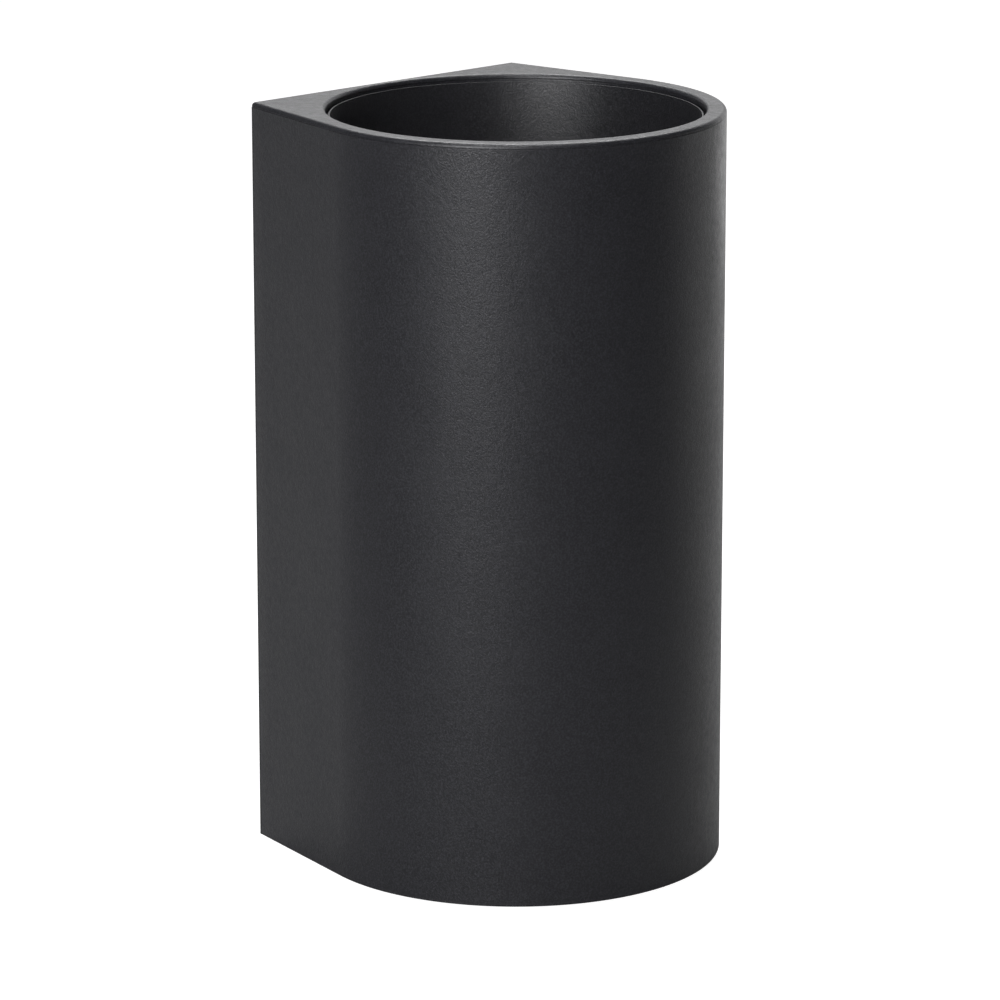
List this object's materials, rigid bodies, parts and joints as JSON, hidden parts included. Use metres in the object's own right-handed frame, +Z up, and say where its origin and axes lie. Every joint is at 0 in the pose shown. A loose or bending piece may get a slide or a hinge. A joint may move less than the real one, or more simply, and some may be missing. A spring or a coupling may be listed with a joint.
{
  "type": "ashtray bin",
  "caption": "D-plan steel bin with a round open mouth, lift-out liner with bail handle and a recessed ash tray.",
  "frame": {"origin": "centre of the footprint's box, on the floor under the rubber feet", "axes": "+Z up, -Y towards the round front, +Y towards the flat back that faces a wall, X across"},
  "size_m": [0.25, 0.243, 0.46],
  "materials": {
    "powder_coat": "fine-texture dark grey powder coat on steel sheet, satin",
    "liner_coat": "fine-texture dark grey powder coat on steel sheet, satin",
    "zinc_plate": "dull zinc-plated steel",
    "stainless": "brushed stainless steel",
    "black_rubber": "matt black rubber",
    "black_plastic": "matt black moulded plastic"
  },
  "bodies": {
    "casing": {"front_shell": "powder_coat", "back_panel": "powder_coat", "top_plate": "powder_coat", "mouth_collar": "powder_coat", "base_plate": "powder_coat", "wall_straps": "zinc_plate", "back_rivets": "powder_coat", "liner_rests": "black_rubber", "rubber_feet": "black_rubber", "foot_screws": "zinc_plate"},
    "liner": {"liner_wall": "liner_coat", "liner_floor": "liner_coat", "tray_brackets": "zinc_plate", "bracket_rivets": "zinc_plate", "handle_ears": "zinc_plate", "ear_rivets": "zinc_plate"},
    "handle": {"bail_handle": "stainless", "handle_grip": "black_plastic"},
    "tray": {"ash_tray": "stainless", "stub_grid": "stainless", "grid_rivets": "stainless", "tray_knob": "black_plastic", "knob_screw": "zinc_plate"}
  },
  "joints": [
    {"name": "liner_lift", "type": "slide", "parent": "casing", "child": "liner", "axis": [0, 0, 1], "range_m": [0, 0.45]},
    {"name": "handle_swing", "type": "hinge", "parent": "liner", "child": "handle", "pos_m": [0, 0.0035, 0.402], "axis": [-1, 0, 0], "range_deg": [0, 180]},
    {"name": "tray_lift", "type": "slide", "parent": "liner", "child": "tray", "axis": [0, 0, 1], "range_m": [0, 0.12]}
  ]
}
